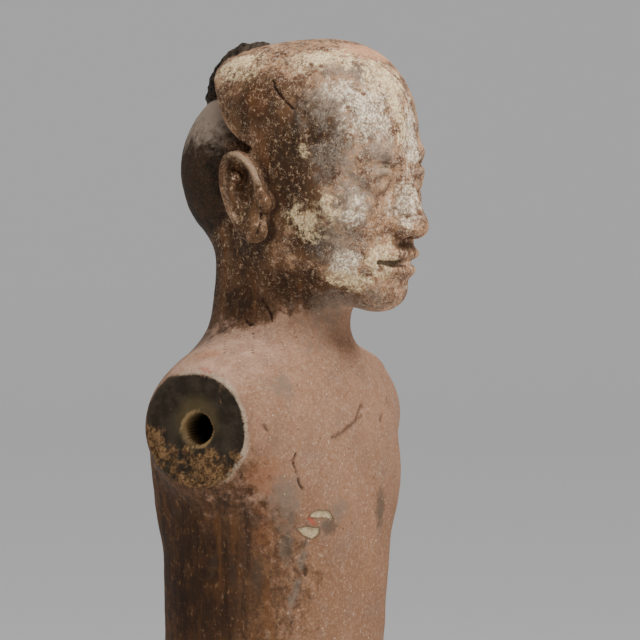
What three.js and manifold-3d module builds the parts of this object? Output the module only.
// Painted pottery horseman: a nude rider who stands astride, bow-legged, on a low clay base.
// His arms were separate and are lost: each shoulder ends in a flat round seat with a bore for the arm's rod.
// Millimetres, +Z up. The figure faces -Y, and the origin is the centre of the base's underside.
import * as THREE from 'three';
import { mergeVertices } from 'three/addons/utils/BufferGeometryUtils.js';
import Module from 'manifold-3d';

// Driving sizes
const FIGURE_HEIGHT = 575; // from the soles to the crown
const SEAT_SPAN = 99; // from one arm seat's face to the other's
const SEAT_RADIUS = 19.4;
const BORE_RADIUS = 5;
const BASE_THICKNESS = 12;
const BASE_MARGIN = 13; // clay left round the feet and legs
const BASE_CORNER = 15;
const BASE_BEVEL = 2;
const SOLE_SINK = 0.8; // how far the soles press into the base

// The carving is set out on a canon, a figure 575 units tall with its soles at height 0.
const HEAD = { y: -12, z: 531, half: 44 }; // the head's centre and half its height, on the canon
const SEAT_HEIGHT = 450.5; // of the arm seats' centres, on the canon
const CROWN = HEAD.z + HEAD.half;
const UNIT = FIGURE_HEIGHT / CROWN;
const FIGURE_Y = 8; // sets the figure back on the base, so that the feet are centred on it

// Trunk from the fork to the nape: height, half width, half depth, centre in Y
const TRUNK = [
  [272, 27, 20, 3],
  [284, 40, 28, 3],
  [300, 48, 33, 3.5],
  [318, 49, 34.5, 3],
  [340, 45, 32.6, 1.5],
  [362, 42, 31.2, 0.5],
  [384, 42.4, 31.6, -0.3],
  [SEAT_HEIGHT - 42, 43, 32.6, -0.9],
  [SEAT_HEIGHT - 22, 43, 33.4, -1],
  [SEAT_HEIGHT - 4, 41, 31, -0.3],
  [SEAT_HEIGHT + 8, 34.5, 27.8, -0.3],
  [HEAD.z - 62, 26.2, 24.8, -0.8],
  [HEAD.z - 52, 21, 23, -1.6],
  [HEAD.z - 40, 20.2, 22.4, -2.9],
  [HEAD.z - 23, 19.5, 22, -4.6],
  [HEAD.z - 7, 18, 18, -7],
];

// Right or left leg, bowed as if astride: height, centre out from the middle, centre in Y, half width, half depth
const LEG = [
  [0, 55, 8, 10.5, 13],
  [24, 55, 8, 10.6, 12.8],
  [50, 58, 7, 12, 13.8],
  [84, 64, 5.5, 16, 18],
  [118, 69, 3, 18.4, 20.8],
  [146, 70.5, -4, 17.8, 19.4],
  [166, 68.5, -8.5, 19, 20],
  [200, 61, -7, 22.6, 24],
  [240, 49, -3, 26.4, 28.4],
  [276, 36, 1.5, 28, 31],
  [302, 26, 3.5, 25, 30],
  [320, 21, 4, 18, 24],
];

const FORE_FOOT = { x: 58, y: -32, z: 5.5, halfWidth: 15.5, halfLength: 24, halfHeight: 8.2 };
const TOES = 5;
const BIG_TOE = { x: 49, y: -55, radius: 5.4 };
const LITTLE_TOE = { x: 70, y: -47, radius: 3.2 };

// Blends

// Two forms joined with a fillet of about the given width
function join(a, b, fillet) {
  const h = Math.max(fillet - Math.abs(a - b), 0) / fillet;
  return Math.min(a, b) - (h * h * fillet) / 4;
}

// Form a with form b cut out of it
function carve(a, b, fillet) {
  return -join(-a, b, fillet);
}

// The part that two forms share
function share(a, b, fillet) {
  return -join(-a, -b, fillet);
}

// Plain forms, each as a signed distance that is below zero inside

function ellipsoid(x, y, z, [cx, cy, cz], [rx, ry, rz]) {
  const px = (x - cx) / rx;
  const py = (y - cy) / ry;
  const pz = (z - cz) / rz;
  const k0 = Math.hypot(px, py, pz);
  const k1 = Math.hypot(px / rx, py / ry, pz / rz);
  return k1 < 1e-9 ? -Math.min(rx, ry, rz) : (k0 * (k0 - 1)) / k1;
}

// An ellipsoid with squarer shoulders, for the skull
function fullEllipsoid(x, y, z, [cx, cy, cz], [rx, ry, rz], power) {
  const px = Math.abs(x - cx) / rx;
  const py = Math.abs(y - cy) / ry;
  const pz = Math.abs(z - cz) / rz;
  const k = (px ** power + py ** power + pz ** power) ** (1 / power);
  if (k < 1e-6) return -Math.min(rx, ry, rz);
  const slope = Math.hypot(px ** (power - 1) / rx, py ** (power - 1) / ry, pz ** (power - 1) / rz);
  return ((k - 1) * k ** (power - 1)) / slope;
}

// A rod from a to b, each given as [x, y, z, radius]
function rod(x, y, z, a, b) {
  const ax = b[0] - a[0];
  const ay = b[1] - a[1];
  const az = b[2] - a[2];
  const along = ((x - a[0]) * ax + (y - a[1]) * ay + (z - a[2]) * az) / (ax * ax + ay * ay + az * az);
  const t = THREE.MathUtils.clamp(along, 0, 1);
  const gap = Math.hypot(x - a[0] - t * ax, y - a[1] - t * ay, z - a[2] - t * az);
  return gap - a[3] - t * (b[3] - a[3]);
}

// A bent rod through a list of [x, y, z, radius]
function bentRod(x, y, z, points) {
  let nearest = Infinity;
  for (let i = 1; i < points.length; i++) {
    nearest = Math.min(nearest, rod(x, y, z, points[i - 1], points[i]));
  }
  return nearest;
}

// Points on a curve bent once, from a towards b to c, with one radius
function bow(a, b, c, radius, steps = 6) {
  const curve = new THREE.QuadraticBezierCurve3(
    new THREE.Vector3(...a), new THREE.Vector3(...b), new THREE.Vector3(...c));
  return curve.getPoints(steps).map((p) => [p.x, p.y, p.z, radius]);
}

// A row of stations at height z, run smoothly from one station to the next
function stationAt(rows, z) {
  const last = rows.length - 1;
  const height = THREE.MathUtils.clamp(z, rows[0][0], rows[last][0]);
  let i = 0;
  while (i < last - 1 && height > rows[i + 1][0]) i++;
  const before = rows[Math.max(i - 1, 0)];
  const low = rows[i];
  const high = rows[i + 1];
  const after = rows[Math.min(i + 2, last)];
  const step = high[0] - low[0];
  const t = (height - low[0]) / step;
  return low.map((value, column) => {
    if (column === 0) return height;
    const slopeLow = ((high[column] - before[column]) / (high[0] - before[0])) * step;
    const slopeHigh = ((after[column] - value) / (after[0] - low[0])) * step;
    const rise = high[column] - value;
    const bend = slopeLow + slopeHigh - 2 * rise;
    return value + t * (slopeLow + t * (3 * rise - 2 * slopeLow - slopeHigh + t * bend));
  });
}

// Each level of the grid asks for the same stations many times over, so the last answer is kept.
function remembered(rows) {
  let height = NaN;
  let row = null;
  return (z) => {
    if (z !== height) {
      height = z;
      row = stationAt(rows, z);
    }
    return row;
  };
}

const trunkAt = remembered(TRUNK);
const legAt = remembered(LEG);
const TRUNK_POWER = 2.3; // 2 would make each section of the trunk an ellipse

function trunkField(x, y, z) {
  const [, width, depth, middle] = trunkAt(z);
  const u = Math.abs(x) / width;
  const v = Math.abs(y - middle) / depth;
  const r = (u ** TRUNK_POWER + v ** TRUNK_POWER) ** (1 / TRUNK_POWER);
  if (r < 1e-6) return -depth;
  const slope = Math.hypot(u ** (TRUNK_POWER - 1) / width, v ** (TRUNK_POWER - 1) / depth);
  const round = ((r - 1) * r ** (TRUNK_POWER - 1)) / slope;
  const ends = Math.max(TRUNK[0][0] - z, z - TRUNK[TRUNK.length - 1][0]);
  return share(round, ends, 12);
}

// The shoulders' mass is an ellipsoid that the arm seats cut flat at their own radius.
function shouldersField(x, y, z) {
  const [swell, rise] = [31.4, 30.8];
  const seat = SEAT_RADIUS / UNIT;
  const reach = SEAT_SPAN / 2 / UNIT;
  const outer = reach / Math.sqrt(1 - (seat / swell) ** 2);
  return ellipsoid(x, y, z, [0, 0, SEAT_HEIGHT], [outer, swell, rise]);
}

// Shallow modelling of the trunk: collar bones, chest, spine, seat and navel
function trunkCarving(solid, x, y, z) {
  const side = Math.abs(x);
  const chest = SEAT_HEIGHT - 20;
  const collar = SEAT_HEIGHT + 17;
  let d = solid;
  d = join(d, ellipsoid(side, y, z, [20, -20.6, chest], [19, 8.6, 15]), 9);
  d = join(d, rod(side, y, z, [5, -22.2, collar + 2, 2], [34, -15.5, collar - 2, 2.6]), 7);
  d = join(d, ellipsoid(side, y, z, [21, 19, chest + 2], [15, 8.4, 20]), 9);
  d = join(d, ellipsoid(side, y, z, [21, 22, 298], [22, 17, 25]), 9);
  d = carve(d, rod(x, y, z, [0, 34.4, 330, 2.6], [0, 33.6, chest + 16, 2.2]), 8);
  d = carve(d, rod(x, y, z, [0, 41, 284, 2.4], [0, 39.4, 314, 1.2]), 6);
  d = carve(d, rod(x, y, z, [0, -37.4, 372, 2.4], [0, -38.4, chest + 4, 2.2]), 8);
  d = carve(d, ellipsoid(x, y, z, [0, -32.6, 350], [2.4, 3, 3]), 2.5);
  return d;
}

function legField(side, y, z) {
  const [, out, middle, width, depth] = legAt(z);
  const u = (side - out) / width;
  const v = (y - middle) / depth;
  const r = Math.hypot(u, v);
  const round = r < 1e-6 ? -width : ((r - 1) * r) / Math.hypot(u / width, v / depth);
  let d = share(round, Math.max(LEG[0][0] - z, z - LEG[LEG.length - 1][0]), 6);
  d = join(d, ellipsoid(side, y, z, [69, -22, 160], [9, 8, 12]), 8);
  d = join(d, rod(side, y, z, [44, 9, 22, 3.4], [66, 9, 20, 3.2]), 6);
  return d;
}

function footField(side, y, z) {
  const { x: fx, y: fy, z: fz, halfWidth, halfLength, halfHeight } = FORE_FOOT;
  let d = ellipsoid(side, y, z, [55, 14, 9], [12.4, 14, 12]);
  d = join(d, ellipsoid(side, y, z, [fx, fy, fz], [halfWidth, halfLength, halfHeight]), 7);
  d = join(d, rod(side, y, z, [55.5, 2, 20, 10.5], [fx, fy, 8, 6.5]), 9);
  for (let toe = 0; toe < TOES; toe++) {
    const t = toe / (TOES - 1);
    const cx = THREE.MathUtils.lerp(BIG_TOE.x, LITTLE_TOE.x, t);
    const cy = THREE.MathUtils.lerp(BIG_TOE.y, LITTLE_TOE.y, t) - 3 * Math.sin(Math.PI * t);
    const radius = toe === 0 ? BIG_TOE.radius : THREE.MathUtils.lerp(4.1, LITTLE_TOE.radius, t);
    d = join(d, rod(side, y, z, [cx, cy, radius, radius], [cx, cy + 13, radius + 1, radius]), 1.6);
  }
  return d;
}

// The head's forms are measured from its centre, in the canon's units. side is the distance from the middle.

const UPPER_LID = bow([6.6, -33.8, -1.2], [12, -39.2, 4.8], [18.6, -31.2, -1.2], 1.15);
const LOWER_LID = bow([6.6, -33.4, -1.6], [12.4, -36.4, -5.4], [18.4, -31, -1.4], 0.9);
const BROW = bow([5, -35.2, 5], [14, -37.6, 11], [23, -25.5, 3], 1.7);
const MOUTH_LINE = bow([10.4, -32.6, -27.4], [5, -38.6, -28.6], [0, -38.8, -27.9], 0.7);

function faceField(x, y, z) {
  const side = Math.abs(x);
  let d = ellipsoid(x, y, z, [0, -12, 13], [25.5, 24, 23]);
  d = join(d, ellipsoid(x, y, z, [0, -10.5, -10], [26, 25.5, 24]), 8);
  d = join(d, ellipsoid(side, y, z, [16.5, -21, -8], [10, 10.4, 9]), 8);
  d = join(d, ellipsoid(x, y, z, [0, -23.5, -25], [13.5, 13.2, 12]), 8);
  d = join(d, ellipsoid(x, y, z, [0, -11, -25.5], [21.6, 21, 14.5]), 8);
  d = join(d, ellipsoid(x, y, z, [0, -26.5, -37], [9.6, 9.4, 7]), 6);
  d = join(d, ellipsoid(side, y, z, [18.3, -2, -16.4], [8.4, 14, 13]), 8);
  d = carve(d, ellipsoid(side, y, z, [12.6, -38.6, 0.4], [9, 6, 5.6]), 5);
  d = join(d, ellipsoid(side, y, z, [12.2, -28.6, -0.8], [7, 6.2, 4.8]), 1.6);
  d = join(d, bentRod(side, y, z, BROW), 5);
  d = join(d, bentRod(side, y, z, UPPER_LID), 1.2);
  d = join(d, bentRod(side, y, z, LOWER_LID), 2.8);
  d = join(d, rod(x, y, z, [0, -34.2, 4, 2.6], [0, -40.4, -15, 3.9]), 4.5);
  d = join(d, ellipsoid(x, y, z, [0, -40.2, -16.4], [4.4, 4.4, 3.8]), 2);
  d = join(d, ellipsoid(side, y, z, [5, -37.4, -17], [2.9, 4.4, 3.2]), 2);
  d = carve(d, ellipsoid(side, y, z, [2.9, -39.2, -20.6], [1.5, 2.4, 1.5]), 1);
  d = join(d, ellipsoid(side, y, z, [3.2, -35.2, -25.1], [6.4, 3.6, 2.3]), 2);
  d = join(d, ellipsoid(x, y, z, [0, -34.9, -30.4], [8, 3.7, 2.7]), 2);
  return carve(d, bentRod(side, y, z, MOUTH_LINE), 1.2);
}

const EAR = { x: 30.6, y: 5.2, z: -5.6, halfWidth: 6.9, halfHeight: 14, lean: 0.2 };

// Points along the ear's rolled rim, from above the face over the top and down the back
function earRim(from, to, share_, steps = 9) {
  const points = [];
  for (let i = 0; i <= steps; i++) {
    const t = i / steps;
    const turn = from + t * (to - from);
    const radius = 2.1 - 0.9 * t;
    const flare = 1.4 + 1.4 * Math.sin(Math.PI * t);
    points.push([
      EAR.x + flare,
      EAR.y + share_ * EAR.halfWidth * Math.sin(turn),
      EAR.z + share_ * EAR.halfHeight * Math.cos(turn),
      radius,
    ]);
  }
  return points;
}

const EAR_RIM = earRim(-1.2, 2.75, 0.86);
const EAR_FOLD = earRim(0.5, 2.3, 0.46);

function earField(side, y, z) {
  const leaned = y - EAR.lean * (z - EAR.z);
  const { x: ex, y: ey, z: ez, halfWidth, halfHeight } = EAR;
  let d = ellipsoid(side, leaned, z, [ex - 0.6, ey, ez], [3.4, halfWidth, halfHeight]);
  d = join(d, bentRod(side, leaned, z, EAR_RIM), 1.4);
  d = join(d, ellipsoid(side, leaned, z, [ex + 0.6, ey - 1, ez - 11], [2.6, 5.4, 4.6]), 2);
  d = carve(d, ellipsoid(side, leaned, z, [ex + 3, ey - 1, ez + 3.4], [3.4, 4.1, 7.4]), 1.6);
  d = join(d, bentRod(side, leaned, z, EAR_FOLD), 1.4);
  d = join(d, ellipsoid(side, leaned, z, [ex + 0.4, ey - 7, ez - 2.4], [2.6, 2.3, 3.2]), 1.6);
  return d;
}

// Hair drawn back into a gathered mass, and its queue folded up behind the crown, where it is broken off
const QUEUE = { halfWidth: 10.5, thickness: 2.6, foot: 23, tip: 16 };
const HAIR_EDGE = [[9, 5], [16, 14.4], [28, 22.4], [40, 31]]; // height, and how far back the hair reaches
const hairEdgeAt = remembered(HAIR_EDGE);
const SKULL_TILT = 0.07; // the crown's rise towards the face

function headField(x, y, z) {
  const side = Math.abs(x);
  const crown = fullEllipsoid(x, y, z + SKULL_TILT * y, [0, -1.5, 12], [30, 33.5, 32], 2.35);
  const skull = join(crown, fullEllipsoid(x, y, z, [0, 13.2, 22.8], [24, 17.5, 17], 2.6), 6);
  const ends = share(QUEUE.foot - z, QUEUE.tip - y, 4);
  const queue = share(share(skull - QUEUE.thickness, side - QUEUE.halfWidth, 4), ends, 4);
  const hair = share(skull, 0.8 * (y - hairEdgeAt(z)[1]), 3);
  let d = join(hair, faceField(x, y, z), 6);
  d = join(d, ellipsoid(x, y, z, [0, 23.5, 1.5], [26, 18.7, 26]), 2);
  d = join(d, queue, 1.6);
  return join(d, earField(side, y, z), 2.2);
}

// The whole figure, in canon units above the soles
function figureField(x, y, z) {
  const side = Math.abs(x);
  let d = Infinity;
  if (z > TRUNK[0][0] - 32) {
    d = join(trunkField(x, y, z), shouldersField(x, y, z), 9);
    d = trunkCarving(d, x, y, z);
  }
  if (z < LEG[LEG.length - 1][0] + 25) d = join(d, legField(side, y, z), 9);
  if (z < 60) d = join(d, footField(side, y, z), 6);
  if (z > HEAD.z - 61) d = join(d, headField(x, y - HEAD.y, z - HEAD.z), 9);
  return d;
}

// The surface is found on a grid of blocks, small at the head and feet and larger between: height, block
const FINE_BLOCK = 2;
const BLOCK_SIZES = [
  [0, 3.4],
  [32, 3.4],
  [90, 5.4],
  [SEAT_HEIGHT - 15, 5],
  [SEAT_HEIGHT + 39, FINE_BLOCK],
  [2 * CROWN, FINE_BLOCK],
];
const BLOCKS = { x: 48, y: 50 };

function blockAt(z) {
  const next = Math.max(BLOCK_SIZES.findIndex(([height]) => height > z), 1);
  const [[low, small], [high, large]] = BLOCK_SIZES.slice(next - 1, next + 1);
  return THREE.MathUtils.mapLinear(Math.max(z, low), low, high, small, large);
}

// Levels of the grid, and its nodes with the field's value at each. Far from the surface, one value
// stands for a run of nodes, since only its sign is used there.
function sampleGrid() {
  const levels = [];
  for (let z = -5.3; z < CROWN + 5 * FINE_BLOCK; z += blockAt(z)) levels.push(z);
  const [nx, ny, nz] = [BLOCKS.x + 1, BLOCKS.y + 1, levels.length];
  const nodes = new Float64Array(nx * ny * nz * 3);
  const values = new Float64Array(nx * ny * nz);
  let n = 0;
  for (let k = 0; k < nz; k++) {
    const block = blockAt(levels[k]);
    for (let j = 0; j < ny; j++) {
      let run = 0;
      for (let i = 0; i < nx; i++, n++) {
        const x = (i - BLOCKS.x / 2) * block;
        const y = HEAD.y + (j - BLOCKS.y / 2) * block;
        nodes[3 * n] = x;
        nodes[3 * n + 1] = y;
        nodes[3 * n + 2] = levels[k];
        values[n] = run > 0 ? values[n - 1] : figureField(x, y, levels[k]);
        run = run > 0 ? run - 1 : Math.floor(Math.abs(values[n]) / (3 * block));
      }
    }
  }
  return { nx, ny, nz, nodes, values };
}

// Six tetrahedra fill each block: one for each order in which the three axes can be walked.
const WALKS = [[0, 1, 2], [1, 2, 0], [2, 0, 1], [0, 2, 1], [2, 1, 0], [1, 0, 2]];
const EVEN_WALKS = 3;

// The field's zero surface as { points, faces }, closed and facing out
function surfaceOf({ nx, ny, nz, nodes, values }) {
  const stride = [1, nx, nx * ny];
  const offsets = [0, 1, nx, nx + 1].flatMap((offset) => [offset, offset + nx * ny]);
  const cut = new Int32Array(values.length * 8).fill(-1);
  const points = [];
  const faces = [];

  // The surface's point on the edge from one node to another
  const crossing = (a, b) => {
    const low = Math.min(a, b);
    let rest = Math.abs(a - b);
    let way = 0;
    for (let axis = 2; axis >= 0; axis--) {
      if (rest >= stride[axis]) {
        rest -= stride[axis];
        way |= 1 << axis;
      }
    }
    const key = low * 8 + way;
    if (cut[key] < 0) {
      const share_ = THREE.MathUtils.clamp(values[a] / (values[a] - values[b]), 0.05, 0.95);
      cut[key] = points.length;
      points.push([0, 1, 2].map((c) => nodes[3 * a + c] + share_ * (nodes[3 * b + c] - nodes[3 * a + c])));
    }
    return cut[key];
  };

  const addTetra = (corners, faceOut) => {
    const inside = corners.filter((c) => values[c] < 0);
    if (inside.length === 0 || inside.length === 4) return;
    const outside = corners.filter((c) => values[c] >= 0);
    const [p0, p1, p2, p3] = [...inside, ...outside];
    const order = [p0, p1, p2, p3].map((c) => corners.indexOf(c));
    let even = faceOut;
    for (let i = 0; i < 4; i++) {
      for (let j = i + 1; j < 4; j++) if (order[i] > order[j]) even = !even;
    }
    const add = (a, b, c) => faces.push(even ? [a, b, c] : [a, c, b]);
    if (inside.length === 1) {
      add(crossing(p0, p1), crossing(p0, p2), crossing(p0, p3));
    } else if (inside.length === 3) {
      add(crossing(p0, p3), crossing(p1, p3), crossing(p2, p3));
    } else {
      const [a, b, c, d] = [crossing(p0, p2), crossing(p0, p3), crossing(p1, p3), crossing(p1, p2)];
      add(a, b, c);
      add(a, c, d);
    }
  };

  for (let k = 0; k < nz - 1; k++) {
    for (let j = 0; j < ny - 1; j++) {
      for (let i = 0; i < nx - 1; i++) {
        const base = i + stride[1] * j + stride[2] * k;
        const far = base + stride[0] + stride[1] + stride[2];
        const mixed = offsets.some((offset) => values[base + offset] < 0 !== values[base] < 0);
        if (!mixed) continue;
        WALKS.forEach(([first, second], walk) => {
          const one = base + stride[first];
          addTetra([base, one, one + stride[second], far], walk < EVEN_WALKS);
        });
      }
    }
  }
  return { points, faces };
}

// How much closer the thinned mesh keeps to the form there: most at the face and ears, less at feet and seats
function careAt([x, y, z]) {
  if (z > HEAD.z - HEAD.half && y < HEAD.y - 14) return 9;
  if (z > HEAD.z - HEAD.half) return Math.abs(x) > 26 ? 12 : 3;
  return z < 30 ? 2 : 1;
}

// A heap that gives back the entry with the lowest cost
class CostHeap {
  entries = [];

  push(entry) {
    const e = this.entries;
    let i = e.push(entry) - 1;
    while (i > 0) {
      const parent = (i - 1) >> 1;
      if (e[parent].cost <= e[i].cost) break;
      [e[parent], e[i]] = [e[i], e[parent]];
      i = parent;
    }
  }

  pop() {
    const e = this.entries;
    const top = e[0];
    const last = e.pop();
    if (e.length > 0) {
      e[0] = last;
      let i = 0;
      for (;;) {
        let least = i;
        for (const child of [2 * i + 1, 2 * i + 2]) {
          if (child < e.length && e[child].cost < e[least].cost) least = child;
        }
        if (least === i) break;
        [e[least], e[i]] = [e[i], e[least]];
        i = least;
      }
    }
    return top;
  }
}

const minus = (a, b) => [a[0] - b[0], a[1] - b[1], a[2] - b[2]];
const dot = (a, b) => a[0] * b[0] + a[1] * b[1] + a[2] * b[2];
const cross = (a, b) => [
  a[1] * b[2] - a[2] * b[1],
  a[2] * b[0] - a[0] * b[2],
  a[0] * b[1] - a[1] * b[0],
];

// Squared distance from p to the planes in quadric q: six products, three sums and a constant
function misfit(q, [x, y, z]) {
  return q[0] * x * x + q[1] * y * y + q[2] * z * z + 2 * (q[3] * x * y + q[4] * x * z + q[5] * y * z)
    + 2 * (q[6] * x + q[7] * y + q[8] * z) + q[9];
}

// The point that fits quadric q best, or null where there is no clear one
function bestPoint(q) {
  const [a, b, c, d, e, f, gx, gy, gz] = q;
  const minor = [b * c - f * f, e * f - d * c, d * f - b * e];
  const det = a * minor[0] + d * minor[1] + e * minor[2];
  if (Math.abs(det) < 1e-9) return null;
  const inverse = [minor[0], minor[1], minor[2], a * c - e * e, d * e - a * f, a * b - d * d];
  return [
    -(inverse[0] * gx + inverse[1] * gy + inverse[2] * gz) / det,
    -(inverse[1] * gx + inverse[3] * gy + inverse[4] * gz) / det,
    -(inverse[2] * gx + inverse[4] * gy + inverse[5] * gz) / det,
  ];
}

function addTo(sum, row, weight) {
  for (let i = 0; i < sum.length; i++) sum[i] += weight * row[i];
}

const EVENNESS = 0.012; // how strongly thinning keeps triangles of even size
const LEAST_SHAPE = 0.12; // of a triangle kept by a merge: 1 is even-sided, 0 is a line

// How even-sided a triangle is
function shapeOf(a, b, c) {
  const [ab, bc, ca] = [minus(b, a), minus(c, b), minus(a, c)];
  const area2 = Math.sqrt(dot(cross(ab, ca), cross(ab, ca)));
  return (2 * Math.sqrt(3) * area2) / (dot(ab, ab) + dot(bc, bc) + dot(ca, ca));
}

// Merges the edges that change the form least, until only the wanted number of faces is left
function thin({ points, faces }, wanted) {
  const quadrics = points.map(() => [0, 0, 0, 0, 0, 0, 0, 0, 0, 0]);
  const around = points.map(() => new Set());
  faces.forEach((face, index) => {
    const [a, b, c] = face.map((v) => points[v]);
    const normal = cross(minus(b, a), minus(c, a));
    const length = Math.hypot(...normal) || 1e-12;
    const n = normal.map((value) => value / length);
    const d = -dot(n, a);
    const weight = (length / 2) * careAt(a);
    const plane = [
      n[0] * n[0] + EVENNESS, n[1] * n[1] + EVENNESS, n[2] * n[2] + EVENNESS,
      n[0] * n[1], n[0] * n[2], n[1] * n[2],
    ];
    for (const v of face) {
      const p = points[v];
      const full = [
        ...plane,
        n[0] * d - EVENNESS * p[0], n[1] * d - EVENNESS * p[1], n[2] * d - EVENNESS * p[2],
        d * d + EVENNESS * dot(p, p),
      ];
      addTo(quadrics[v], full, weight);
      around[v].add(index);
    }
  });

  const stamps = new Int32Array(points.length);
  const heap = new CostHeap();
  const offer = (a, b) => {
    const q = quadrics[a].slice();
    addTo(q, quadrics[b], 1);
    const middle = [0, 1, 2].map((i) => (points[a][i] + points[b][i]) / 2);
    let place = middle;
    let cost = misfit(q, middle);
    const best = bestPoint(q);
    if (best !== null && Math.hypot(...minus(best, middle)) < 2 * Math.hypot(...minus(points[a], points[b]))) {
      const bestCost = misfit(q, best);
      if (bestCost < cost) [place, cost] = [best, bestCost];
    }
    heap.push({ cost, a, b, place, stamp: stamps[a] + stamps[b] });
  };
  const neighbours = (v) => {
    const found = new Set();
    for (const index of around[v]) for (const other of faces[index]) if (other !== v) found.add(other);
    return found;
  };
  points.forEach((_, a) => neighbours(a).forEach((b) => { if (a < b) offer(a, b); }));

  // A merge may not turn a face over or pull it to a sliver.
  const keepsFaces = (moved, gone, place) => {
    for (const index of around[moved]) {
      const face = faces[index];
      if (face.includes(gone)) continue;
      const was = face.map((v) => points[v]);
      const now = face.map((v) => (v === moved ? place : points[v]));
      const before = cross(minus(was[1], was[0]), minus(was[2], was[0]));
      const after = cross(minus(now[1], now[0]), minus(now[2], now[0]));
      if (dot(before, after) < 0.3 * Math.hypot(...before) * Math.hypot(...after)) return false;
      if (shapeOf(...now) < Math.min(LEAST_SHAPE, 0.9 * shapeOf(...was))) return false;
    }
    return true;
  };

  let left = faces.length;
  while (left > wanted && heap.entries.length > 0) {
    const { a, b, place, stamp } = heap.pop();
    if (around[a] === null || around[b] === null || stamps[a] + stamps[b] !== stamp) continue;
    const near = neighbours(b);
    const common = [...neighbours(a)].filter((v) => near.has(v));
    if (common.length !== 2 || !keepsFaces(a, b, place) || !keepsFaces(b, a, place)) continue;
    for (const index of around[b]) {
      const face = faces[index];
      if (face.includes(a)) {
        for (const v of face) if (v !== b) around[v].delete(index);
        left--;
      } else {
        face[face.indexOf(b)] = a;
        around[a].add(index);
      }
    }
    around[b] = null;
    points[a] = place;
    addTo(quadrics[a], quadrics[b], 1);
    const ring = neighbours(a);
    stamps[a] += 1;
    ring.forEach((v) => offer(a, v));
  }
  const kept = new Set();
  around.forEach((set) => set?.forEach((index) => kept.add(index)));
  return { points, faces: [...kept].map((index) => faces[index]) };
}

const SLOPE_STEP = 0.05;

// Moves a point along the field's slope until it lies on the surface
function settle(point) {
  let p = point;
  for (let round = 0; round < 3; round++) {
    const value = figureField(...p);
    const slope = [0, 1, 2].map((axis) => {
      const ahead = [...p];
      ahead[axis] += SLOPE_STEP;
      return (figureField(...ahead) - value) / SLOPE_STEP;
    });
    const steep = dot(slope, slope);
    if (steep < 0.05) return p;
    const step = THREE.MathUtils.clamp(value / steep, -FINE_BLOCK / 4, FINE_BLOCK / 4);
    p = p.map((value_, axis) => value_ - step * slope[axis]);
  }
  return p;
}

const FIGURE_TRIANGLES = 8400;

// The figure as a geometry in millimetres, on top of the base
function figureGeometry() {
  const { points, faces } = thin(surfaceOf(sampleGrid()), FIGURE_TRIANGLES);
  const used = [...new Set(faces.flat())];
  const place = new Map(used.map((v, i) => [v, i]));
  const positions = used.flatMap((v) => {
    const [x, y, z] = settle(points[v]);
    return [x * UNIT, y * UNIT + FIGURE_Y, z * UNIT + BASE_THICKNESS - SOLE_SINK];
  });
  return new THREE.BufferGeometry()
    .setAttribute('position', new THREE.Float32BufferAttribute(positions, 3))
    .setIndex(faces.flat().map((v) => place.get(v)));
}

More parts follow.
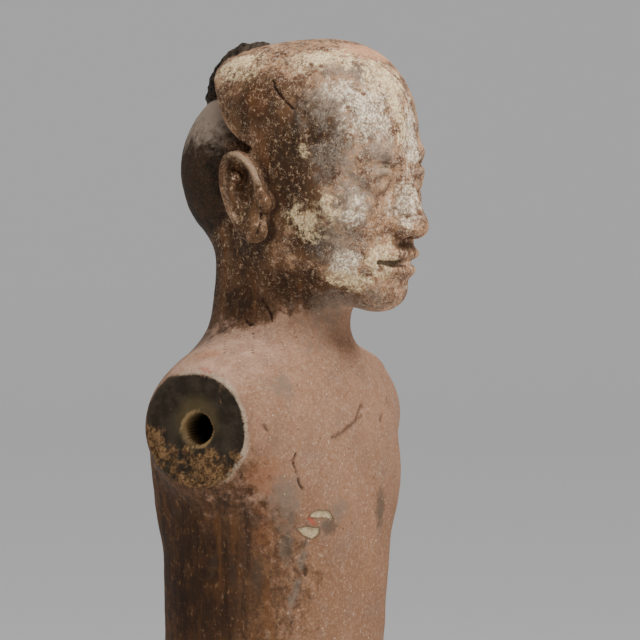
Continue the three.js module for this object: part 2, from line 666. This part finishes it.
// A slab with rounded corners, large enough for the widest stretch of the legs and for the feet
function baseGeometry() {
  const widest = Math.max(...LEG.map(([, out, , width]) => out + width));
  const toeTip = BIG_TOE.y - BIG_TOE.radius;
  const heel = 14 + 14;
  const length = 2 * (widest * UNIT + BASE_MARGIN / 2);
  const width = (heel - toeTip) * UNIT + 2 * BASE_MARGIN;
  const [x, y, r] = [length / 2 - BASE_BEVEL, width / 2 - BASE_BEVEL, BASE_CORNER - BASE_BEVEL];
  const outline = new THREE.Shape()
    .moveTo(-x + r, -y).lineTo(x - r, -y).absarc(x - r, -y + r, r, -Math.PI / 2, 0)
    .lineTo(x, y - r).absarc(x - r, y - r, r, 0, Math.PI / 2)
    .lineTo(-x + r, y).absarc(-x + r, y - r, r, Math.PI / 2, Math.PI)
    .lineTo(-x, -y + r).absarc(-x + r, -y + r, r, Math.PI, 1.5 * Math.PI);
  return new THREE.ExtrudeGeometry(outline, {
    depth: BASE_THICKNESS - 2 * BASE_BEVEL,
    bevelThickness: BASE_BEVEL,
    bevelSize: BASE_BEVEL,
    bevelSegments: 2,
    curveSegments: 6,
  }).translate(0, 0, BASE_BEVEL);
}

const wasm = await Module();
wasm.setup();

// A closed geometry as a solid that can be joined and cut
function solidOf(geometry) {
  const bare = geometry.clone();
  bare.deleteAttribute('normal');
  bare.deleteAttribute('uv');
  const merged = mergeVertices(bare, 1e-4);
  return new wasm.Manifold(new wasm.Mesh({
    numProp: 3,
    vertProperties: new Float32Array(merged.attributes.position.array),
    triVerts: new Uint32Array(merged.index.array),
  }));
}

function geometryOf(solid) {
  const { vertProperties, triVerts } = solid.getMesh();
  const geometry = new THREE.BufferGeometry()
    .setAttribute('position', new THREE.Float32BufferAttribute(vertProperties, 3))
    .setIndex([...triVerts]);
  geometry.computeVertexNormals();
  return geometry;
}

const seatZ = SEAT_HEIGHT * UNIT + BASE_THICKNESS - SOLE_SINK;

// What lies beyond an arm seat's flat face, on the side given by sign
function seatCutter(sign) {
  const depth = 2 * SEAT_RADIUS;
  const across = 2.6 * SEAT_RADIUS;
  return new THREE.BoxGeometry(depth, across, across)
    .translate(sign * (SEAT_SPAN + depth) / 2, FIGURE_Y, seatZ);
}

// The bore runs straight through from one arm seat to the other.
function boreCutter() {
  return new THREE.CylinderGeometry(BORE_RADIUS, BORE_RADIUS, SEAT_SPAN + 4 * BORE_RADIUS, 28)
    .rotateZ(Math.PI / 2)
    .translate(0, FIGURE_Y, seatZ);
}

const clay = new THREE.MeshStandardMaterial({ color: 0x9a7763, roughness: 0.9, metalness: 0 });

const solid = solidOf(figureGeometry())
  .subtract(solidOf(seatCutter(1)))
  .subtract(solidOf(seatCutter(-1)))
  .subtract(solidOf(boreCutter()))
  .add(solidOf(baseGeometry()));

const horseman = new THREE.Mesh(geometryOf(solid), clay);
horseman.name = 'horseman_figure';

const figure = new THREE.Group();
figure.add(horseman);

export default figure;
